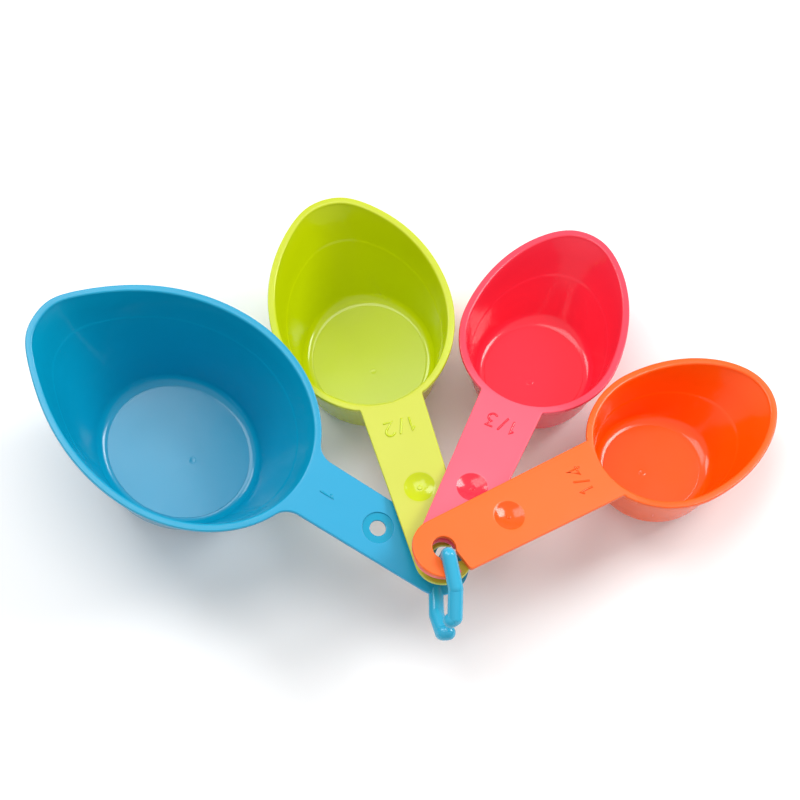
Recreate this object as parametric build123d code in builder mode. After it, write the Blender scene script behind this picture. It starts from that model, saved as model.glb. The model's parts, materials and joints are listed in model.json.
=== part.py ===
from build123d import *
import os
from math import cos, radians, sin, sqrt, tan
from types import SimpleNamespace

# A set of four moulded plastic measuring cups (1, 1/2, 1/3 and 1/4 cup) on one snap ring.
# Millimetres, +Z up. The cups stand on the table with their handle ends stacked on the ring
# and their bowls fanned out. The origin is on the table, under the middle of the whole set.
#
# Each cup is first drawn in its own frame: origin at the middle of the base, +X toward the
# nose, the handle along -X and the rim level. Then it is tipped and turned to its place.

# ---- sizes shared by the four cups ----
WALL = 1.8                 # bowl wall
FLOOR = 2.4                # bowl floor
LIP = 1.6                  # width of the flange around the rim
SHEET = 2.0                # thickness of the rim flange and the handle
FOOT_HEIGHT = 2.0          # straight foot under the bowl
FOOT_STEP = 1.4            # the foot stands this far inside the bowl wall
FOOT_WIDTH = 2.4           # width of the standing ring of the foot
FOOT_RECESS = 0.6          # hollow under the base, inside the foot
BASE_STRETCH = 1.06        # base length over base width
FLOOR_ROUND = 3.0          # inside, between floor and wall
WALL_ROUND = 0.8           # outside, between foot and wall
FILL_DEPTH = 14.0          # fill line, measured down from the rim
FILL_STEP = 0.3            # the wall steps out this far above the fill line

RING_HOLE = 9.0            # hole in every handle end
SLOT_NECK = 5.9            # slot width where it leaves the hole
SLOT_MOUTH = 8.6           # slot width at the edge of the handle
SLOT_ROUND = 1.2           # rounded corners of the slot's mouth
DIMPLE = 12.0              # round thumb dimple
DIMPLE_DEPTH = 1.3
PIP = 1.8                  # small button in the middle of the dimple
PEG_HOLE = 6.1             # hanging hole in the handle of the 1 cup
GATE = 3.0                 # moulding gate mark on the bowl floor
MARK_HEIGHT = 5.6          # raised capacity numerals
MARK_STROKE = 0.9
MARK_RAISE = 0.35
MARK_GAP = 8.0             # from the rim to the middle of the numerals

# ---- the four cups ----
# base: half width of the wall where it meets the foot
# side, rear, nose: reach of the rim from the middle of the base
# widest: how far toward the nose the rim is widest
# point: 0.5 makes the nose an ellipse, more makes it pointed, apart from its rounded tip
# reach: middle of the base to ring hole; end, root: handle width at the hole and at the bowl
# dimple: ring hole to thumb dimple or hanging hole; join: round between handle and rim
# heading, tilt, roll: degrees; a positive tilt dips the nose
# beside: ring hole beside the axis all cups swivel about
ONE = SimpleNamespace(
    height=52.0, base=31.0, side=45.0, rear=51.0, nose=69.6, widest=1.5, point=0.70,
    reach=108.5, end=23.0, root=25.0, dimple=26.5, join=8.0, mark="1",
    heading=149.6, tilt=-9.6, roll=1.9, beside=(-1.1, -0.3))
HALF = SimpleNamespace(
    height=39.6, base=27.0, side=35.3, rear=39.6, nose=54.7, widest=2.6, point=0.61,
    reach=103.0, end=21.6, root=26.0, dimple=29.5, join=1.0, mark="1/2",
    heading=106.9, tilt=3.5, roll=-2.1, beside=(0.4, -0.1))
THIRD = SimpleNamespace(
    height=33.2, base=24.2, side=31.65, rear=36.5, nose=49.9, widest=-2.4, point=0.56,
    reach=104.0, end=21.6, root=26.6, dimple=29.6, join=1.0, mark="1/3",
    heading=67.4, tilt=9.3, roll=1.6, beside=(0.2, 0.0))
QUARTER = SimpleNamespace(
    height=29.8, base=23.0, side=29.9, rear=34.3, nose=48.1, widest=0.2, point=0.53,
    reach=104.2, end=24.0, root=26.4, dimple=29.2, join=1.0, mark="1/4",
    heading=31.65, tilt=13.2, roll=0.4, beside=(0.85, -0.15))

# ---- snap ring ----
ROD = 5.7
RING_HEADING = -79.0       # from the holes toward the clasp
RING_LEAN = 5.0            # the rod leans this much through the holes
RING_MIDDLE = 47.2         # middle of the rod above the table

NOSE_ANGLES = [0, 24, 46, 66, 80, 90]    # where the nose's curve is set, from widest to tip

os.makedirs("parts", exist_ok=True)


def outline_sizes(cup, height, inset=0.0):
    """Half width, rear, nose, widest point and nose shape of the outer wall at a height."""
    t = (height - FOOT_HEIGHT) / (cup.height - FOOT_HEIGHT)
    length = BASE_STRETCH * cup.base
    side = cup.base + t * (cup.side - LIP - cup.base) - inset
    rear = length + t * (cup.rear - LIP - length) - inset
    nose = length + t * (cup.nose - LIP - length) - inset
    return side, rear, nose, t * cup.widest, 0.5 + t * (cup.point - 0.5)


def egg(side, rear, nose, widest, power):
    """Closed outline: half an ellipse behind the widest point, a pointed curve before it.
    Every outline runs through the same angles, so that walls between two of them are even."""
    left = []
    for angle in NOSE_ANGLES:
        x = sin(radians(angle))
        rounder = power + (0.5 - power) * x ** 10
        left.append((widest + (nose - widest) * x, side * (1 - x ** 2) ** rounder))
    right = [(x, -y) for x, y in reversed(left)]
    back_angles = [90 - angle for angle in reversed(NOSE_ANGLES)]
    with BuildLine() as outline:
        add(Edge.make_spline(left, [(1, 0), (0, -1)], parameters=NOSE_ANGLES))
        add(Edge.make_spline(right, [(0, -1), (-1, 0)], parameters=back_angles))
        EllipticalCenterArc((widest, 0), rear + widest, side, start_angle=90, arc_size=180)
    return outline.line


def bowl_loft(cup, low, high, inset, round_radius=0.0):
    """Solid between the outlines at two heights, inset from the outer wall.
    A rounded bottom edge is made of short rings that follow a quarter circle."""
    rings = [(low, inset)]
    if round_radius:
        rings = []
        for angle in (0, 22, 45, 68, 90):
            rise = round_radius * (1 - cos(radians(angle)))
            rings.append((low + rise, inset + round_radius * (1 - sin(radians(angle)))))
    rings.append((high, inset))
    with BuildPart() as bowl:
        for height, ring_inset in rings:
            with BuildSketch(Plane.XY.offset(height)):
                make_face(egg(*outline_sizes(cup, height, ring_inset)))
        loft(ruled=True)
    return bowl.part


def base_slab(cup, inset, height):
    """Straight-sided solid on the table side of the base."""
    with BuildPart() as slab:
        with BuildSketch():
            make_face(egg(*outline_sizes(cup, FOOT_HEIGHT, inset)))
        extrude(amount=height)
    return slab.part


def sheet_part(cup):
    """Rim flange and handle in one flat sheet, with the ring hole and its slot."""
    half_end = cup.end / 2
    with BuildPart() as sheet:
        with BuildSketch(Plane.XY.offset(cup.height - SHEET)):
            make_face(egg(*outline_sizes(cup, cup.height, -LIP)))
            with BuildLine():
                Polyline(
                    (-cup.reach, half_end), (0, cup.root / 2), (0, -cup.root / 2),
                    (-cup.reach, -half_end), close=True)
            make_face()
            with Locations((-cup.reach, 0)):
                Circle(half_end)
        extrude(amount=SHEET)
        joins = sheet.edges().filter_by(Axis.Z).filter_by_position(
            Axis.X, -cup.rear - 6, -cup.rear / 2)
        fillet(joins, cup.join)
        with BuildSketch(Plane.XY.offset(cup.height - SHEET)):
            with Locations((-cup.reach, 0)):
                Circle(RING_HOLE / 2)
            with BuildLine():
                Polyline(
                    (-cup.reach - SLOT_NECK / 2, 0), (-cup.reach + SLOT_NECK / 2, 0),
                    (-cup.reach + SLOT_MOUTH / 2, -half_end - 1),
                    (-cup.reach - SLOT_MOUTH / 2, -half_end - 1), close=True)
            make_face()
        extrude(amount=SHEET, mode=Mode.SUBTRACT)
        slot = sheet.edges().filter_by(Axis.Z).filter_by_position(
            Axis.X, -cup.reach - SLOT_MOUTH, -cup.reach + SLOT_MOUTH)
        fillet(slot.sort_by(Axis.Y)[:2], SLOT_ROUND)
    return sheet.part


def numeral(character):
    """Centre lines of one numeral, standing on its own origin."""
    h = MARK_HEIGHT
    if character == "1":
        strokes = [Polyline((0.04 * h, 0.76 * h), (0.26 * h, h), (0.26 * h, 0))]
    elif character == "2":
        hook = CenterArc((0.3 * h, 0.71 * h), 0.29 * h, 165, -205)
        strokes = [hook, Polyline(hook @ 1, (0.02 * h, 0), (0.62 * h, 0))]
    elif character == "3":
        belly = CenterArc((0.28 * h, 0.31 * h), 0.3 * h, 88, -235)
        strokes = [belly, Polyline((0.04 * h, h), (0.56 * h, h), belly @ 0)]
    elif character == "4":
        strokes = [
            Polyline((0.46 * h, 0), (0.46 * h, h), (0, 0.3 * h)),
            Line((0, 0.3 * h), (0.64 * h, 0.3 * h))]
    else:
        strokes = [Line((0, -0.08 * h), (0.4 * h, 1.08 * h))]
    return strokes


def capacity_mark(cup):
    """All strokes of the capacity mark, laid across the handle beside the rim, with the
    tops of the numerals toward the ring."""
    pitch = 0.72 * MARK_HEIGHT
    x = -cup.rear - MARK_GAP + MARK_HEIGHT / 2
    first = -pitch * (len(cup.mark) - 0.12) / 2
    strokes = []
    for index, character in enumerate(cup.mark):
        place = Pos(x, first + pitch * index) * Rot(0, 0, 90)
        strokes += [place * stroke for stroke in numeral(character)]
    return strokes


def make_cup(cup):
    """One cup in its own frame."""
    mark = capacity_mark(cup)

    # inside of the bowl: rounded at the floor, stepped out above the fill line
    with BuildPart() as hollow:
        add(bowl_loft(cup, FLOOR, cup.height + 1, WALL, FLOOR_ROUND))
        add(bowl_loft(cup, cup.height - FILL_DEPTH, cup.height + 1, WALL - FILL_STEP))

    with BuildPart() as shape:
        add(bowl_loft(cup, FOOT_HEIGHT, cup.height - SHEET / 2, 0, WALL_ROUND))
        add(base_slab(cup, FOOT_STEP, FOOT_HEIGHT))
        add(base_slab(cup, FOOT_STEP + FOOT_WIDTH, FOOT_RECESS), mode=Mode.SUBTRACT)
        add(sheet_part(cup))
        add(hollow.part, mode=Mode.SUBTRACT)

        # gate mark on the floor
        with Locations((-0.2 * cup.base, 0, FLOOR - 0.5)):
            Cylinder(GATE / 2, 0.75, align=(Align.CENTER, Align.CENTER, Align.MIN))

        # hanging hole in the 1 cup, a thumb dimple with a small button in the others
        feature_x = -cup.reach + cup.dimple
        if cup is ONE:
            with Locations((feature_x, 0, cup.height)):
                CounterBoreHole(PEG_HOLE / 2, DIMPLE / 2, 0.5, depth=SHEET)
        else:
            ball = (DIMPLE ** 2 / 4 + DIMPLE_DEPTH ** 2) / (2 * DIMPLE_DEPTH)
            with Locations((feature_x, 0, cup.height + ball - DIMPLE_DEPTH)):
                Sphere(ball, mode=Mode.SUBTRACT)
            with Locations((feature_x, 0, cup.height - SHEET + 0.3)):
                Cylinder(PIP / 2, 1.1, align=(Align.CENTER, Align.CENTER, Align.MIN))

        # raised capacity numerals
        with BuildSketch(Plane.XY.offset(cup.height - 0.2)):
            for stroke in mark:
                trace(stroke, MARK_STROKE)
        extrude(amount=MARK_RAISE + 0.2)
    return shape.part


def stand(cup):
    """Where a cup stands: turned, tipped, its foot on the table, its hole by the ring."""
    turn = Rot(0, 0, cup.heading) * Rot(0, cup.tilt, 0) * Rot(cup.roll, 0, 0)
    foot_x = BASE_STRETCH * cup.base - FOOT_STEP
    foot_y = cup.base - FOOT_STEP
    lean_x = sin(radians(cup.tilt))
    lean_y = cos(radians(cup.tilt)) * sin(radians(cup.roll))
    lift = sqrt((foot_x * lean_x) ** 2 + (foot_y * lean_y) ** 2)
    hole = (turn * Pos(-cup.reach, 0, cup.height)).position
    return Pos(cup.beside[0] - hole.X, cup.beside[1] - hole.Y, lift) * turn


def bent_line(corners, radii):
    """Straight runs from corner to corner, each inner corner bent with its own radius."""
    corners = [Vector(*corner) for corner in corners]
    start = corners[0]
    for before, corner, after, radius in zip(corners, corners[1:], corners[2:], radii):
        arriving = (corner - before).normalized()
        leaving = (after - corner).normalized()
        half_turn = radians(arriving.get_angle(leaving)) / 2
        bend_start = corner - arriving * radius * tan(half_turn)
        bend_end = corner + leaving * radius * tan(half_turn)
        inward = (leaving - arriving).normalized()
        bend_middle = corner + inward * (radius / cos(half_turn) - radius)
        Line(start, bend_start)
        ThreePointArc(bend_start, bend_middle, bend_end)
        start = bend_end
    Line(start, corners[-1])


def ring_part():
    """Snap ring: a bent rod whose two hooked ends lie one over the other as a clasp.
    Its own frame: origin in the middle of the holes, +X toward the clasp, +Z up."""
    upper = [(-0.6, 0.3, 19.0), (20.0, 1.0, 16.0), (27.4, 1.2, 3.4), (27.4, -4.7, 3.4)]
    lower = [(0.2, -1.0, -17.5), (22.5, -6.4, -15.5), (28.7, -6.6, -3.3), (28.7, -0.4, -3.3)]
    with BuildPart() as ring:
        with BuildLine() as rod_line:
            bent_line(lower[::-1] + upper, (3.0, 7.0, 5.5, 5.5, 7.0, 3.0))
        with BuildSketch(Plane(origin=rod_line.line @ 0, z_dir=rod_line.line % 0)):
            Circle(ROD / 2)
        sweep()
    return ring.part


# ---- every piece in its own frame, and where it goes ----
one_shape, one_place = make_cup(ONE), stand(ONE)
half_shape, half_place = make_cup(HALF), stand(HALF)
third_shape, third_place = make_cup(THIRD), stand(THIRD)
quarter_shape, quarter_place = make_cup(QUARTER), stand(QUARTER)
ring_shape = ring_part()
ring_place = Pos(0, 0, RING_MIDDLE) * Rot(0, 0, RING_HEADING) * Rot(-RING_LEAN, 0, 0)

# the middle of the whole set goes to the origin
whole = Compound([
    one_place * one_shape, half_place * half_shape, third_place * third_shape,
    quarter_place * quarter_shape, ring_place * ring_shape]).bounding_box()
home = Pos(-whole.center().X, -whole.center().Y, -whole.min.Z)

with BuildPart() as one_cup:
    with Locations(home * one_place):
        add(one_shape)
one_cup.part.label = "one_cup"
export_step(one_cup.part, "parts/one_cup.step")

with BuildPart() as half_cup:
    with Locations(home * half_place):
        add(half_shape)
half_cup.part.label = "half_cup"
export_step(half_cup.part, "parts/half_cup.step")

with BuildPart() as third_cup:
    with Locations(home * third_place):
        add(third_shape)
third_cup.part.label = "third_cup"
export_step(third_cup.part, "parts/third_cup.step")

with BuildPart() as quarter_cup:
    with Locations(home * quarter_place):
        add(quarter_shape)
quarter_cup.part.label = "quarter_cup"
export_step(quarter_cup.part, "parts/quarter_cup.step")

with BuildPart() as snap_ring:
    with Locations(home * ring_place):
        add(ring_shape)
snap_ring.part.label = "snap_ring"
export_step(snap_ring.part, "parts/snap_ring.step")
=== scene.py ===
import json
from math import acos, atan2, cos, hypot, pi, radians, sin, sqrt, tan
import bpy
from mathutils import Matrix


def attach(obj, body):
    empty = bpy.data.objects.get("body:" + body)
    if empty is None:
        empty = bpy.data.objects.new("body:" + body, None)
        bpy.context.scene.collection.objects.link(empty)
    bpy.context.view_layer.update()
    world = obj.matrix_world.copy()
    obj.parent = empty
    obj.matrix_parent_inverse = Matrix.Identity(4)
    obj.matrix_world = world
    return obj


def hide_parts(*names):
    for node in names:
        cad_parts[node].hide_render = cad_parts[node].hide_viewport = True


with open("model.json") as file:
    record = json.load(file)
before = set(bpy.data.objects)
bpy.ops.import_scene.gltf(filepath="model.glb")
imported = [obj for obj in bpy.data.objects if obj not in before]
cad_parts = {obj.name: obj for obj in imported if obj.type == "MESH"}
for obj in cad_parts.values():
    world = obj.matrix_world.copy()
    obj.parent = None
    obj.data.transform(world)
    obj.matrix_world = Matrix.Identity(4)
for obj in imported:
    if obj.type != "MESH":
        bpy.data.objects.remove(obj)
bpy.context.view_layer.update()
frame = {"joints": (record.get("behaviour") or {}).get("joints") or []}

from types import SimpleNamespace

import bmesh
import bpy
import numpy as np
from mathutils import Matrix, Vector

# Four moulded measuring cups on a snap ring. Each cup's mesh is built in the cup's own frame
# in millimetres (origin at the middle of the base, +X toward the nose, handle along -X),
# then stood in its place in the CAD frame, in metres.

MM = 0.001

# ---- sizes shared by the cups, in millimetres ----
WALL, FLOOR, LIP, SHEET = 1.8, 2.4, 1.6, 2.0
FOOT_HEIGHT, FOOT_STEP, FOOT_WIDTH, FOOT_RECESS = 2.0, 1.4, 2.4, 0.6
BASE_STRETCH = 1.06
FLOOR_ROUND, WALL_ROUND = 3.0, 0.8
FILL_DEPTH, FILL_STEP = 14.0, 0.2
RING_HOLE, SLOT_NECK, SLOT_MOUTH, SLOT_ROUND = 9.0, 5.9, 8.6, 1.2
DIMPLE, DIMPLE_DEPTH, PIP = 12.0, 1.3, 1.8
PEG_HOLE, PEG_RECESS = 6.1, 0.5
GATE = 3.0
MARK_HEIGHT, MARK_STROKE, MARK_RAISE, MARK_GAP = 5.6, 0.9, 0.35, 8.0
EDGE, LIP_ROUND = 0.45, 0.9    # how far moulded edges, and the lip's inner edge, are rounded
FOOT_EDGE = 0.4
FILL_BLEND = 0.5      # the softened fill line reaches this far above and below its height
RIM_MARGIN = 0.2      # the rim is drawn this much smaller, so the whole stays in the CAD's box
TABLE_LIFT = 0.0046   # the CAD's last move in height, onto the table

# ---- finish and painted light: 0 is polished in the deep colour painted as shade, 1 is satin in the pale colour painted as light ----
# the rim is half satin, and its colour is painted light and shade: 0.35 of the way from the deep,
# shaded copy to the pale, lit copy
RIM_SATIN_AND_LIT = 0.35
SATIN_AND_LIT_FADE = 12.0     # length of handle over which the rim's finish and painted shade turn into the handle's finish and painted light
SATIN_AND_LIT_ROWS = 5        # rows around the lip over which the bowl becomes polished and takes the deep colour painted as shade

# base: half width of the wall at the foot; side, rear, nose: reach of the rim; widest: place of
# the rim's widest point; point: how pointed the nose is; reach: middle of the base to ring hole;
# end, root: handle width at the hole and at the bowl; dimple: ring hole to dimple or hanging hole;
# join: round between handle and rim; heading, tilt, roll: how the cup lies, in degrees;
# beside: ring hole beside the axis that all cups swivel about
CUPS = {
    "one_cup": SimpleNamespace(
        height=52.0, base=31.0, side=45.0, rear=51.0, nose=69.6, widest=1.5, point=0.70,
        reach=108.5, end=23.0, root=25.0, dimple=26.5, join=8.0, mark="1",
        heading=149.6, tilt=-9.6, roll=1.9, beside=(-1.1, -0.3)),
    "half_cup": SimpleNamespace(
        height=39.6, base=27.0, side=35.3, rear=39.6, nose=54.7, widest=2.6, point=0.61,
        reach=103.0, end=21.6, root=26.0, dimple=29.5, join=1.0, mark="1/2",
        heading=106.9, tilt=3.5, roll=-2.1, beside=(0.4, -0.1)),
    "third_cup": SimpleNamespace(
        height=33.2, base=24.2, side=31.65, rear=36.5, nose=49.9, widest=-2.4, point=0.56,
        reach=104.0, end=21.6, root=26.6, dimple=29.6, join=1.0, mark="1/3",
        heading=67.4, tilt=9.3, roll=1.6, beside=(0.2, 0.0)),
    "quarter_cup": SimpleNamespace(
        height=29.8, base=23.0, side=29.9, rear=34.3, nose=48.1, widest=0.2, point=0.53,
        reach=104.2, end=24.0, root=26.4, dimple=29.2, join=1.0, mark="1/4",
        heading=31.65, tilt=13.2, roll=0.4, beside=(0.85, -0.15)),
}

ROD = 5.7
RING_HEADING, RING_LEAN, RING_MIDDLE = -79.0, 5.0, 47.2

FRONT_STEPS, REAR_STEPS = 44, 64
QUARTER_TURN = [radians(a) for a in (0, 22.5, 45, 67.5, 90)]


# ---------------------------------------------------------------- outlines
def outline_sizes(cup, height, inset=0.0):
    """Half width, rear, nose, widest point and nose shape of the outer wall at a height."""
    t = (height - FOOT_HEIGHT) / (cup.height - FOOT_HEIGHT)
    length = BASE_STRETCH * cup.base
    side = cup.base + t * (cup.side - LIP - cup.base) - inset
    rear = length + t * (cup.rear - LIP - length) - inset
    nose = length + t * (cup.nose - LIP - length) - inset
    return side, rear, nose, t * cup.widest, 0.5 + t * (cup.point - 0.5)


def egg(side, rear, nose, widest, power):
    """Closed outline, counterclockwise from the widest point on the right (-Y) side."""
    angle = np.linspace(0, pi / 2, FRONT_STEPS + 1)
    along = np.sin(angle)
    rounder = power + (0.5 - power) * along ** 10
    curve = np.column_stack(
        [widest + (nose - widest) * along, side * np.cos(angle) ** (2 * rounder)])
    front = np.concatenate([(curve * (1, -1))[:-1], curve[::-1][:-1]])
    turn = np.linspace(pi / 2, 3 * pi / 2, REAR_STEPS + 1)[:-1]
    back = np.column_stack([widest + (rear + widest) * np.cos(turn), side * np.sin(turn)])
    return np.concatenate([front, back])


def arc(centre, radius, start, end, steps):
    """Points on a circle from one angle to another, both ends included."""
    turn = np.linspace(start, end, steps + 1)
    return np.column_stack([centre[0] + radius * np.cos(turn), centre[1] + radius * np.sin(turn)])


def rounded(before, corner, after, radius, steps=5):
    """A corner cut by a small tangent arc."""
    before, corner, after = (np.array(p, float) for p in (before, corner, after))
    a = (before - corner) / np.linalg.norm(before - corner)
    b = (after - corner) / np.linalg.norm(after - corner)
    half = acos(np.clip(a @ b, -1, 1)) / 2
    middle = (a + b) / np.linalg.norm(a + b)
    centre = corner + middle * radius / sin(half)
    first = corner + a * radius / tan(half) - centre
    last = corner + b * radius / tan(half) - centre
    start = atan2(first[1], first[0])
    sweep = (atan2(last[1], last[0]) - start + pi) % (2 * pi) - pi
    return arc(centre, radius, start, start + sweep, steps)


def handle_half(cup, x):
    """Half width of the handle at a place along it."""
    return cup.end / 2 + (cup.root - cup.end) / 2 * (x + cup.reach) / cup.reach


def join_arc(cup, rim):
    """Round between the rim and the handle's left edge, and how many points of the rim's
    left rear quarter come before it."""
    slope = (cup.root - cup.end) / 2 / cup.reach
    normal = np.array([-slope, 1]) / hypot(slope, 1)
    quarter = rim[2 * FRONT_STEPS:2 * FRONT_STEPS + REAR_STEPS // 2]

    def clearance(x):
        centre = np.array([x, handle_half(cup, x)]) + normal * cup.join
        return np.hypot(*(quarter - centre).T).min() - cup.join, centre

    high = -cup.reach
    while clearance(high)[0] > 0:
        high += 0.5
    low = high - 0.5
    for _ in range(40):
        x = (low + high) / 2
        gap, centre = clearance(x)
        low, high = (x, high) if gap > 0 else (low, x)
    nearest = int(np.argmin(np.hypot(*(quarter - centre).T)))
    touch = quarter[nearest] - centre
    start = atan2(touch[1], touch[0])
    sweep = (atan2(-normal[1], -normal[0]) - start + pi) % (2 * pi) - pi
    steps = 10 if cup.join > 2 else 4
    return arc(centre, cup.join, start, start + sweep, steps), nearest


def sheet_outline(cup):
    """Outline of the rim flange and handle, counterclockwise, with the ring hole and slot."""
    rim = egg(*outline_sizes(cup, cup.height, RIM_MARGIN - LIP))
    left_join, kept = join_arc(cup, rim)
    right_join = (left_join * (1, -1))[::-1]
    around = np.roll(rim, kept - 1, axis=0)[:2 * FRONT_STEPS + 2 * kept - 1]
    half_end = cup.end / 2
    hole = np.array([-cup.reach, 0.0])

    def slot_half(y):
        return SLOT_NECK / 2 + (SLOT_MOUTH - SLOT_NECK) / 2 * y / (half_end + 1)

    neck, tip = RING_HOLE / 2, half_end
    for _ in range(30):
        neck = sqrt((RING_HOLE / 2) ** 2 - slot_half(neck) ** 2)
        tip = sqrt(half_end ** 2 - slot_half(tip) ** 2)
    bowl_neck = hole + (slot_half(neck), -neck)
    tip_neck = hole + (-slot_half(neck), -neck)
    mouth = -cup.reach + slot_half(half_end)
    bowl_corner = (mouth, -handle_half(cup, mouth))
    bowl_edge = (mouth + 9, -handle_half(cup, mouth + 9))
    tip_corner = hole + (-slot_half(tip), -tip)
    tip_angle = atan2(-tip, -slot_half(tip)) + 2 * pi
    round_end = arc(hole, half_end, pi / 2, tip_angle - 0.14, 30)
    hole_wall = arc(
        hole, RING_HOLE / 2, atan2(-neck, -slot_half(neck)) + 2 * pi,
        atan2(-neck, slot_half(neck)), 44)
    return np.concatenate([
        around, left_join, round_end,
        rounded(round_end[-1], tip_corner, tip_neck, SLOT_ROUND),
        hole_wall,
        rounded(bowl_neck, bowl_corner, bowl_edge, SLOT_ROUND),
        right_join])


def grown(outline, amount):
    """The outline moved outward by an amount (negative moves it inward)."""
    before = outline - np.roll(outline, 1, axis=0)
    after = np.roll(outline, -1, axis=0) - outline
    before = before / np.hypot(*before.T)[:, None]
    after = after / np.hypot(*after.T)[:, None]
    normal = np.column_stack([before[:, 1] + after[:, 1], -before[:, 0] - after[:, 0]])
    normal = normal / np.hypot(*normal.T)[:, None]
    lean = np.clip(normal[:, 0] * after[:, 1] - normal[:, 1] * after[:, 0], 0.5, 1)
    return outline + normal * (amount / lean)[:, None]


# ---------------------------------------------------------------- mesh building
def ring(mesh, outline, height):
    """A level loop of new vertices."""
    return [mesh.verts.new((x, y, height)) for x, y in outline]


def bridge(mesh, first, second):
    """A band of quads between two loops with the same number of vertices."""
    for i in range(len(first)):
        j = (i + 1) % len(first)
        mesh.faces.new((first[i], first[j], second[j], second[i]))


def chain(mesh, rings):
    """Bands between each loop and the next."""
    for first, second in zip(rings, rings[1:]):
        bridge(mesh, first, second)


def loop_edges(mesh, loop):
    """The edges around a loop, made where they are missing."""
    edges = []
    for i in range(len(loop)):
        pair = (loop[i], loop[(i + 1) % len(loop)])
        edges.append(mesh.edges.get(pair) or mesh.edges.new(pair))
    return edges


def fill(mesh, *loops):
    """Flat face between an outer loop and the loops inside it."""
    edges = [edge for loop in loops for edge in loop_edges(mesh, loop)]
    bmesh.ops.triangle_fill(mesh, use_beauty=True, use_dissolve=False, edges=edges)


def circle(x, radius, steps=48):
    """Circle on the cup's middle line."""
    return arc((x, 0.0), radius, 0, 2 * pi, steps)[:-1]


def wall_outline(cup, height, inset):
    """The bowl's wall is straight from the foot to the rim."""
    t = (height - FOOT_HEIGHT) / (cup.height - FOOT_HEIGHT)
    low = egg(*outline_sizes(cup, FOOT_HEIGHT, inset))
    high = egg(*outline_sizes(cup, cup.height, inset))
    return low + (high - low) * t


def sheet_edge(mesh, cup):
    """Rounded edge of the rim and handle, from the top face to the underside."""
    outline = sheet_outline(cup)
    top, under = cup.height, cup.height - SHEET
    edge = [ring(mesh, grown(outline, -EDGE * (1 - sin(a))), top - EDGE * (1 - cos(a)))
            for a in QUARTER_TURN]
    edge += [ring(mesh, grown(outline, -EDGE * (1 - sin(a))), under + EDGE * (1 - cos(a)))
             for a in reversed(QUARTER_TURN)]
    chain(mesh, edge)
    return edge


def bowl_inside(mesh, cup):
    """Inside of the bowl: the rounded lip, the wall with its fill line, the rounded corner
    and a faint step up to the flat floor."""
    top = cup.height
    fill_line = top - FILL_DEPTH
    upper_inset = WALL - FILL_STEP
    inner = [ring(mesh, wall_outline(cup, top, upper_inset - LIP_ROUND * (1 - sin(a))),
                  top - LIP_ROUND * (1 - cos(a))) for a in QUARTER_TURN]
    for height in np.linspace(top - LIP_ROUND, fill_line + FILL_BLEND, 5)[1:]:
        inner.append(ring(mesh, wall_outline(cup, height, upper_inset), height))
    for drop in (0.2, 0.5, 0.8):
        height = fill_line + FILL_BLEND - drop
        inner.append(ring(mesh, wall_outline(cup, height, upper_inset + FILL_STEP * drop), height))
    for height in np.linspace(fill_line - FILL_BLEND, FLOOR + FLOOR_ROUND, 8):
        inner.append(ring(mesh, wall_outline(cup, height, WALL), height))
    for step in range(1, 9):
        a = pi / 2 * step / 8
        inset = WALL + FLOOR_ROUND * (1 - cos(a))
        height = FLOOR + FLOOR_ROUND * (1 - sin(a))
        inner.append(ring(mesh, wall_outline(cup, max(height, FOOT_HEIGHT), inset), height))
    for inset, rise in ((0.1, 0.0), (0.16, 0.12), (0.3, 0.16)):
        inner.append(ring(
            mesh, wall_outline(cup, FLOOR, WALL + FLOOR_ROUND + inset), FLOOR + rise))
    return inner


def gate_mark(mesh, cup):
    """Small round mark where the plastic entered the mould."""
    gate_x = -0.2 * cup.base
    return [ring(mesh, circle(gate_x, GATE / 2 * r), FLOOR + 0.16 + h)
            for r, h in ((1.0, 0.0), (0.93, 0.06), (0.8, 0.09), (0.5, 0.02), (0.2, 0.0))]


def bowl_outside(mesh, cup):
    """Outer wall, foot ring and the shallow recess in the foot."""
    def base(inset):
        return egg(*outline_sizes(cup, FOOT_HEIGHT, inset))

    outer = [ring(mesh, wall_outline(cup, height, 0), height)
             for height in np.linspace(cup.height - SHEET, FOOT_HEIGHT + WALL_ROUND, 9)]
    for a in QUARTER_TURN[1:]:
        outer.append(ring(
            mesh, wall_outline(cup, FOOT_HEIGHT, WALL_ROUND * (1 - cos(a))),
            FOOT_HEIGHT + WALL_ROUND * (1 - sin(a))))
    outer.append(ring(mesh, base(FOOT_STEP + 0.02), FOOT_HEIGHT))
    outer.append(ring(mesh, base(FOOT_STEP), FOOT_HEIGHT - 0.1))
    for a in QUARTER_TURN:
        outer.append(ring(
            mesh, base(FOOT_STEP + FOOT_EDGE * (1 - cos(a))), FOOT_EDGE * (1 - sin(a))))
    inside = FOOT_STEP + FOOT_WIDTH
    outer.append(ring(mesh, base(inside - 0.3), 0.0))
    outer.append(ring(mesh, base(inside - 0.1), 0.1))
    outer.append(ring(mesh, base(inside), FOOT_RECESS))
    chain(mesh, outer)
    mesh.faces.new(outer[-1])
    return outer


def hanging_hole(mesh, cup):
    """Through hole in a round recess, as loops from the top face to the underside."""
    recess, hole = DIMPLE / 2, PEG_HOLE / 2
    steps = [(recess + 0.3, 0), (recess + 0.08, 0.08), (recess, 0.25), (recess, PEG_RECESS),
             (hole + 0.3, PEG_RECESS), (hole + 0.08, PEG_RECESS + 0.08),
             (hole, PEG_RECESS + 0.3), (hole, SHEET - 0.3), (hole + 0.08, SHEET - 0.08),
             (hole + 0.3, SHEET)]
    hollow = [ring(mesh, circle(cup.dimple - cup.reach, radius), cup.height - depth)
              for radius, depth in steps]
    chain(mesh, hollow)
    return hollow


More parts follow.
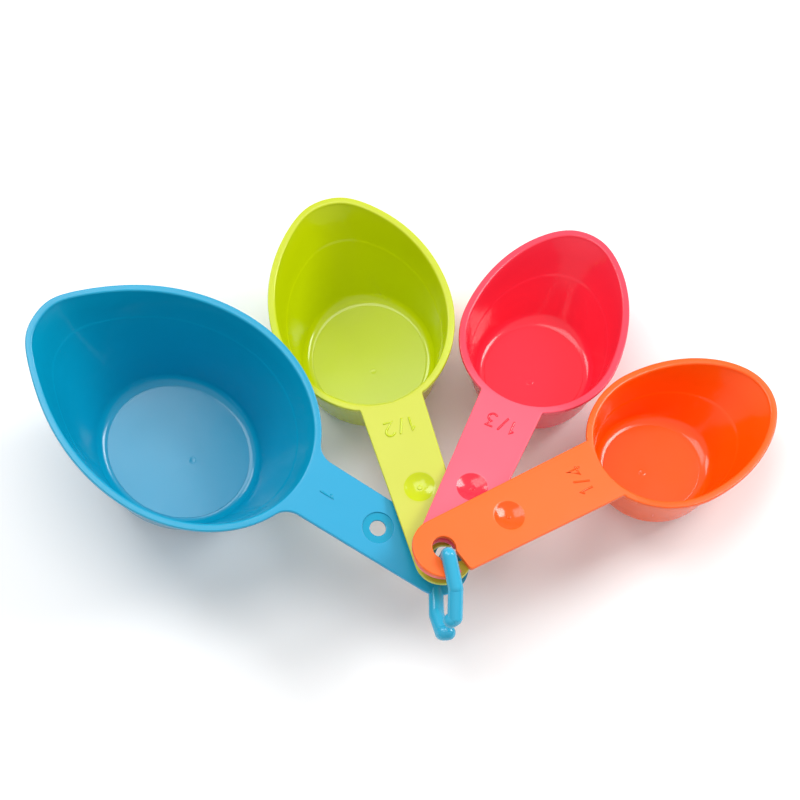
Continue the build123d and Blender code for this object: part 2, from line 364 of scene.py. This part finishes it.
def thumb_dimple(mesh, cup):
    """Ball-shaped dimple with a small sunk pip in its middle."""
    rim = DIMPLE / 2
    ball = (rim ** 2 + DIMPLE_DEPTH ** 2) / (2 * DIMPLE_DEPTH)
    steps = [(rim + 0.35, 0), (rim + 0.05, 0.05)]
    for radius in np.linspace(rim - 0.3, PIP / 2 + 0.35, 9):
        steps.append((radius, DIMPLE_DEPTH - ball + sqrt(ball ** 2 - radius ** 2)))
    steps += [(PIP / 2 + 0.05, DIMPLE_DEPTH - 0.08), (PIP / 2 - 0.05, DIMPLE_DEPTH - 0.3),
              (PIP / 2 - 0.25, DIMPLE_DEPTH - 0.38)]
    hollow = [ring(mesh, circle(cup.dimple - cup.reach, radius), cup.height - depth)
              for radius, depth in steps]
    chain(mesh, hollow)
    mesh.faces.new(hollow[-1])
    return hollow


def set_finish_and_painted_light(mesh, cup, layer, inner, polished_and_shaded):
    """Satin on the handle, half satin on the rim, polished inside the bowl and the hollows. The
    same value picks the colour: the handle gets the pale copy painted as light, the bowl inside
    and the hollows the deep copy painted as shade.
    """
    for vert in mesh.verts:
        handle = min(max((-cup.rear - vert.co.x) / SATIN_AND_LIT_FADE + 1, 0), 1)
        on_sheet = vert.co.z > cup.height - SHEET - 0.01
        vert[layer] = RIM_SATIN_AND_LIT + (1 - RIM_SATIN_AND_LIT) * handle if on_sheet else RIM_SATIN_AND_LIT
    for index, row in enumerate(inner):
        for vert in row:
            vert[layer] *= max(0.0, 1 - index / SATIN_AND_LIT_ROWS)
    for row in polished_and_shaded:
        for vert in row:
            vert[layer] = 0.0


def build_cup(cup):
    """The cup as one closed mesh, in its own frame, in millimetres."""
    mesh = bmesh.new()
    # painted light and shade: the satin value also blends the pale, lit colour with the deep,
    # shaded one
    satin_and_lit = mesh.verts.layers.float.new("satin_and_lit")
    edge = sheet_edge(mesh, cup)
    inner = bowl_inside(mesh, cup)
    gate = gate_mark(mesh, cup)
    chain(mesh, inner)
    chain(mesh, gate)
    mesh.faces.new(gate[-1])
    fill(mesh, inner[-1], gate[0])
    outer = bowl_outside(mesh, cup)
    if cup.mark == "1":
        hollow = hanging_hole(mesh, cup)
        underside = [outer[0], hollow[-1]]
    else:
        hollow = thumb_dimple(mesh, cup)
        underside = [outer[0]]
    fill(mesh, edge[0], inner[0], hollow[0])
    fill(mesh, edge[-1], *underside)
    # the bowl inside, the gate mark and the hollows get the deep colour: painted shade in the
    # recesses
    set_finish_and_painted_light(mesh, cup, satin_and_lit, inner, gate + hollow[2:])
    bmesh.ops.recalc_face_normals(mesh, faces=mesh.faces)
    return mesh


# ---------------------------------------------------------------- capacity numerals
def numeral(character):
    """Centre lines of one numeral, one unit high, standing on its own origin."""
    if character == "1":
        return [[(0.04, 0.76), (0.26, 1.0), (0.26, 0.0)]]
    if character == "2":
        hook = arc((0.3, 0.71), 0.29, radians(165), radians(-40), 14)
        return [list(map(tuple, hook)) + [(0.02, 0.0), (0.62, 0.0)]]
    if character == "3":
        belly = arc((0.28, 0.31), 0.3, radians(88), radians(-147), 16)
        return [[(0.04, 1.0), (0.56, 1.0)] + list(map(tuple, belly))]
    if character == "4":
        return [[(0.46, 0.0), (0.46, 1.0), (0.0, 0.3), (0.64, 0.3)]]
    return [[(0.0, -0.08), (0.4, 1.08)]]


def tube(mesh, path, radius, sides, flatten=1.0):
    """Closed tube along a path, with round ends; flatten squashes it in height."""
    path = [Vector(p) for p in path]
    runs = [(b - a).normalized() for a, b in zip(path, path[1:])]
    cap = [pi / 2 * k / 5 for k in range(6)]
    stations = [(path[0] + runs[0] * radius * (1 - cos(a)), runs[0], max(sin(a), 0.03), 1.0)
                for a in cap]
    for before, place, after in zip(runs, path[1:-1], runs[1:]):
        half = before.angle(after) / 2
        stations.append((place, (before + after).normalized(), 1.0, min(1 / cos(half), 1.6)))
    stations += [(path[-1] - runs[-1] * radius * (1 - cos(a)), runs[-1], max(sin(a), 0.03), 1.0)
                 for a in reversed(cap)]
    side = runs[0].cross(Vector((0, 0, 1)))
    side = side.normalized() if side.length > 0.1 else Vector((1, 0, 0))
    rings = []
    for place, tangent, scale, stretch in stations:
        side = (side - tangent * side.dot(tangent)).normalized()
        up = side.cross(tangent)
        section = []
        for k in range(sides):
            a = 2 * pi * k / sides
            offset = (side * cos(a) * stretch + up * sin(a)) * radius * scale
            offset.z *= flatten
            section.append(mesh.verts.new(place + offset))
        rings.append(section)
    chain(mesh, rings)
    mesh.faces.new(rings[0])
    mesh.faces.new(rings[-1])


def add_numerals(mesh, cup):
    """Raised strokes with a half-round section, sunk into the handle's face."""
    pitch = 0.72 * MARK_HEIGHT
    x = -cup.rear - MARK_GAP + MARK_HEIGHT / 2
    first = -pitch * (len(cup.mark) - 0.12) / 2
    for index, character in enumerate(cup.mark):
        for stroke in numeral(character):
            path = [(x - v * MARK_HEIGHT, first + pitch * index + u * MARK_HEIGHT, cup.height)
                    for u, v in stroke]
            tube(mesh, path, MARK_STROKE / 2, 12, flatten=MARK_RAISE / (MARK_STROKE / 2))


# ---------------------------------------------------------------- snap ring
def ring_path():
    """Middle line of the rod: straight runs with a bend at every inner corner. Known fault:
    slerp returns a vector of length 1, so each bend lies 1 mm from its centre instead of
    radius away, and the rod crosses the handles."""
    upper = [(-0.6, 0.3, 19.0), (20.0, 1.0, 16.0), (27.4, 1.2, 3.4), (27.4, -4.7, 3.4)]
    lower = [(0.2, -1.0, -17.5), (22.5, -6.4, -15.5), (28.7, -6.6, -3.3), (28.7, -0.4, -3.3)]
    corners = [Vector(p) for p in lower[::-1] + upper]
    radii = (3.0, 7.0, 5.5, 5.5, 7.0, 3.0)
    path = [corners[0]]
    for before, corner, after, radius in zip(corners, corners[1:], corners[2:], radii):
        arriving = (corner - before).normalized()
        leaving = (after - corner).normalized()
        half = arriving.angle(leaving) / 2
        centre = corner + (leaving - arriving).normalized() * radius / cos(half)
        first = corner - arriving * radius * tan(half) - centre
        last = corner + leaving * radius * tan(half) - centre
        for k in range(13):
            path.append(centre + first.slerp(last, k / 12))
    return path + [corners[-1]]


# ---------------------------------------------------------------- placing
swivel = Vector(frame["joints"][0]["pos_m"])


def cup_place(cup):
    """Where a cup stands, in metres: turned, tipped, on its foot, its hole by the swivel axis."""
    turn = (Matrix.Rotation(radians(cup.heading), 3, "Z")
            @ Matrix.Rotation(radians(cup.tilt), 3, "Y")
            @ Matrix.Rotation(radians(cup.roll), 3, "X"))
    foot_x = BASE_STRETCH * cup.base - FOOT_STEP
    foot_y = cup.base - FOOT_STEP
    lean_x = sin(radians(cup.tilt))
    lean_y = cos(radians(cup.tilt)) * sin(radians(cup.roll))
    lift = hypot(foot_x * lean_x, foot_y * lean_y) + TABLE_LIFT
    hole = turn @ Vector((-cup.reach, 0, cup.height))
    shift = Vector((swivel.x + (cup.beside[0] - hole.x) * MM,
                    swivel.y + (cup.beside[1] - hole.y) * MM, lift * MM))
    return Matrix.Translation(shift) @ (turn * MM).to_4x4()


def piece(mesh, name, node, place, material, sharp=35):
    """Turns a bmesh into a smooth-shaded object that stands for a CAD node."""
    mesh.transform(place)
    bmesh.ops.recalc_face_normals(mesh, faces=mesh.faces)
    for face in mesh.faces:
        face.smooth = True
    for line in mesh.edges:
        if len(line.link_faces) == 2 and line.calc_face_angle(0) > radians(sharp):
            line.smooth = False
    data = bpy.data.meshes.new(name)
    mesh.to_mesh(data)
    mesh.free()
    thing = bpy.data.objects.new(name, data)
    bpy.context.scene.collection.objects.link(thing)
    data.materials.append(material)
    weighted = thing.modifiers.new("even_shading", "WEIGHTED_NORMAL")
    weighted.keep_sharp = True
    weighted.weight = 80
    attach(thing, node)
    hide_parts(node)
    return thing


# ---------------------------------------------------------------- materials
def plastic(name, polished_and_shaded, satin_and_lit, seed, rough=(0.13, 0.36)):
    """Moulded polypropylene. The inside of a bowl is polished, the flat handle and rim are satin.
    Its colour is painted light and shade: deep in the bowl, where shade is painted, and paler on
    the handle and rim, where light is painted. Colour drifts faintly with the flow of the melt,
    the skin has an orange-peel waviness, and handling leaves fine scratches and dull patches."""
    material = bpy.data.materials.new(name)
    material.use_nodes = True
    tree = material.node_tree
    nodes, links = tree.nodes, tree.links
    shader = nodes["Principled BSDF"]
    place = nodes.new("ShaderNodeTexCoord").outputs["Object"]
    finish_and_painted_light = nodes.new("ShaderNodeAttribute")
    finish_and_painted_light.attribute_name = "satin_and_lit"

    def noise(scale, detail=3.0, stretch=None):
        source = place
        if stretch:
            mapping = nodes.new("ShaderNodeMapping")
            mapping.inputs["Scale"].default_value = stretch
            mapping.inputs["Rotation"].default_value = (0.3, 0.2, seed)
            links.new(place, mapping.inputs["Vector"])
            source = mapping.outputs["Vector"]
        made = nodes.new("ShaderNodeTexNoise")
        made.noise_dimensions = "4D"
        made.inputs["W"].default_value = seed
        made.inputs["Scale"].default_value = scale
        made.inputs["Detail"].default_value = detail
        links.new(source, made.inputs["Vector"])
        return made.outputs["Fac"]

    def remap(value, low, high, to_low, to_high):
        made = nodes.new("ShaderNodeMapRange")
        for key, number in (("From Min", low), ("From Max", high),
                            ("To Min", to_low), ("To Max", to_high)):
            made.inputs[key].default_value = number
        links.new(value, made.inputs["Value"])
        return made.outputs["Result"]

    def math(operation, a, b):
        made = nodes.new("ShaderNodeMath")
        made.operation = operation
        for socket, value in zip(made.inputs, (a, b)):
            if isinstance(value, (int, float)):
                socket.default_value = value
            else:
                links.new(value, socket)
        return made.outputs[0]

    def blend(factor, first, second):
        mix = nodes.new("ShaderNodeMix")
        mix.data_type = "RGBA"
        for socket, value in zip((mix.inputs[0], mix.inputs[6], mix.inputs[7]),
                                 (factor, first, second)):
            if isinstance(value, tuple):
                socket.default_value = (*value, 1)
            else:
                links.new(value, socket)
        return mix.outputs[2]

    # colour: painted light and shade first, the pale, lit copy on satin faces and the deep, shaded
    # copy on polished ones, then a faint drift
    drift = math("ADD", math("MULTIPLY", noise(26), 0.6),
                 math("MULTIPLY", noise(30, 4, stretch=(1, 1, 5)), 0.4))
    drift = remap(drift, 0.3, 0.7, 0, 1)
    pale = tuple(min(1.0, c * 1.06 + 0.004) for c in satin_and_lit)
    rich = tuple(min(1.0, c * 1.07 + 0.001) for c in polished_and_shaded)
    colour = blend(finish_and_painted_light.outputs["Fac"], blend(drift, polished_and_shaded, rich), blend(drift, satin_and_lit, pale))
    links.new(colour, shader.inputs["Base Color"])

    # fine scratches, only where handled
    warp = nodes.new("ShaderNodeMapping")
    warp.inputs["Scale"].default_value = (1, 6, 1)
    warp.inputs["Rotation"].default_value = (0, 0.4, seed * 1.7)
    links.new(place, warp.inputs["Vector"])
    scratch = nodes.new("ShaderNodeTexVoronoi")
    scratch.feature = "DISTANCE_TO_EDGE"
    scratch.inputs["Scale"].default_value = 90
    links.new(warp.outputs["Vector"], scratch.inputs["Vector"])
    lines = remap(scratch.outputs["Distance"], 0.0, 0.012, 1, 0)
    marks = math("MULTIPLY", lines, remap(noise(60, 2), 0.55, 0.75, 0, 1))

    low, high = rough
    base = math("ADD", math("MULTIPLY", finish_and_painted_light.outputs["Fac"], high - low),
                remap(noise(45, 4), 0.3, 0.7, low - 0.03, low + 0.05))
    links.new(math("ADD", base, math("MULTIPLY", marks, 0.1)), shader.inputs["Roughness"])

    skin = nodes.new("ShaderNodeBump")
    skin.inputs["Strength"].default_value = 0.06
    skin.inputs["Distance"].default_value = 0.0002
    peel = math("ADD", math("MULTIPLY", noise(900, 2), 0.5), math("MULTIPLY", noise(200, 2), 1.3))
    links.new(math("SUBTRACT", peel, math("MULTIPLY", marks, 0.4)), skin.inputs["Height"])
    links.new(skin.outputs["Normal"], shader.inputs["Normal"])

    shader.inputs["IOR"].default_value = 1.49
    return material


# each plastic: a deep colour painted as shade on polished faces, a pale colour painted as light on
# satin faces, and a seed
PLASTICS = {
    "one_cup": plastic("blue_plastic", (0.0006, 0.31, 0.50), (0.002, 0.325, 0.565), 1.3),
    "half_cup": plastic("lime_plastic", (0.51, 0.60, 0.0006), (0.54, 0.57, 0.038), 2.9),
    "third_cup": plastic("pink_plastic", (0.84, 0.022, 0.05), (0.94, 0.112, 0.17), 4.1),
    "quarter_cup": plastic("orange_plastic", (0.94, 0.09, 0.0004), (0.97, 0.128, 0.002), 5.7),
    "snap_ring": plastic("ring_plastic", (0.03, 0.40, 0.62), (0.05, 0.46, 0.68), 7.7),
}

for node, cup in CUPS.items():
    mesh = build_cup(cup)
    add_numerals(mesh, cup)
    piece(mesh, node + "_moulding", node, cup_place(cup), PLASTICS[node])

mesh = bmesh.new()
tube(mesh, ring_path(), ROD / 2, 32)
ring_height = (RING_MIDDLE + TABLE_LIFT) * MM
ring_place = (Matrix.Translation(Vector((swivel.x, swivel.y, ring_height)))
              @ Matrix.Rotation(radians(RING_HEADING), 4, "Z")
              @ Matrix.Rotation(radians(-RING_LEAN), 4, "X") @ Matrix.Scale(MM, 4))
piece(mesh, "snap_ring_rod", "snap_ring", ring_place, PLASTICS["snap_ring"])

# ---------------------------------------------------------------- floor, light and camera
target = Vector((swivel.x - 0.0155, swivel.y + 0.0813, 0))


def floor_material():
    """Plain pale floor with a very faint unevenness."""
    material = bpy.data.materials.new("pale_floor")
    material.use_nodes = True
    nodes, links = material.node_tree.nodes, material.node_tree.links
    shader = nodes["Principled BSDF"]
    place = nodes.new("ShaderNodeTexCoord").outputs["Object"]
    noise = nodes.new("ShaderNodeTexNoise")
    noise.inputs["Scale"].default_value = 14
    links.new(place, noise.inputs["Vector"])
    mix = nodes.new("ShaderNodeMix")
    mix.data_type = "RGBA"
    mix.inputs["A"].default_value = (0.90, 0.90, 0.90, 1)
    mix.inputs["B"].default_value = (0.93, 0.93, 0.93, 1)
    links.new(noise.outputs["Fac"], mix.inputs["Factor"])
    links.new(mix.outputs["Result"], shader.inputs["Base Color"])
    shader.inputs["Roughness"].default_value = 0.6
    shader.inputs["Specular IOR Level"].default_value = 0.2
    shader.inputs["Emission Color"].default_value = (1, 1, 1, 1)
    shader.inputs["Emission Strength"].default_value = 0.07
    return material


def floor_sweep(size=6.0, rise=5.0, bend=2.0, steps=12):
    """A flat floor that curves up into a backdrop, in metres."""
    sweep = bmesh.new()
    profile = [(-size, 0.0), (size - bend, 0.0)]
    profile += [(size - bend + bend * sin(a), bend - bend * cos(a))
                for a in (pi / 2 * k / steps for k in range(1, steps + 1))]
    profile.append((size, rise))
    rows = [[sweep.verts.new((x, y, z)) for x in (-size, size)] for y, z in profile]
    for low, high in zip(rows, rows[1:]):
        sweep.faces.new((low[0], low[1], high[1], high[0])).smooth = True
    data = bpy.data.meshes.new("floor")
    sweep.to_mesh(data)
    sweep.free()
    data.materials.append(floor_material())
    return data


floor = bpy.data.objects.new("floor", floor_sweep())
bpy.context.scene.collection.objects.link(floor)


def soft_light(name, place, aim, size, power, tall=None):
    """A white rectangular area light; square unless tall is given."""
    light = bpy.data.lights.new(name, "AREA")
    light.shape = "RECTANGLE"
    light.size, light.size_y = size, tall or size
    light.energy = power
    lamp = bpy.data.objects.new(name, light)
    lamp.location = place
    lamp.rotation_euler = (Vector(aim) - Vector(place)).to_track_quat("-Z", "Y").to_euler()
    bpy.context.scene.collection.objects.link(lamp)


soft_light("overhead", (-0.15, 0.42, 1.5), target, 0.9, 7, tall=0.7)
soft_light("right", (1.15, 0.55, 1.0), target, 0.6, 13)
soft_light("left", (-0.9, 0.9, 1.2), target, 0.6, 7)

# the room is bright overhead and dim toward the horizon
world = bpy.data.worlds.new("studio")
world.use_nodes = True
sky, sky_links = world.node_tree.nodes, world.node_tree.links
direction = sky.new("ShaderNodeTexCoord")
split = sky.new("ShaderNodeSeparateXYZ")
climb = sky.new("ShaderNodeMapRange")
climb.inputs["From Min"].default_value = 0.0
climb.inputs["From Max"].default_value = 0.75
climb.inputs["To Min"].default_value = 0.18
climb.inputs["To Max"].default_value = 0.74
sky_links.new(direction.outputs["Generated"], split.inputs["Vector"])
sky_links.new(split.outputs["Z"], climb.inputs["Value"])
sky_links.new(climb.outputs["Result"], sky["Background"].inputs["Strength"])
sky["Background"].inputs["Color"].default_value = (1, 1, 1, 1)
bpy.context.scene.world = world
bpy.context.scene.view_settings.view_transform = "Standard"

camera_data = bpy.data.cameras.new("camera")
camera_data.sensor_width = 36
camera_data.lens = 145.7
camera_data.clip_end = 30
camera = bpy.data.objects.new("camera", camera_data)
elevation, distance = radians(68.194), 1.2725
camera.location = target + distance * Vector((0, -cos(elevation), sin(elevation)))
camera.rotation_euler = (pi / 2 - elevation, 0, 0)
bpy.context.scene.collection.objects.link(camera)
bpy.context.scene.camera = camera
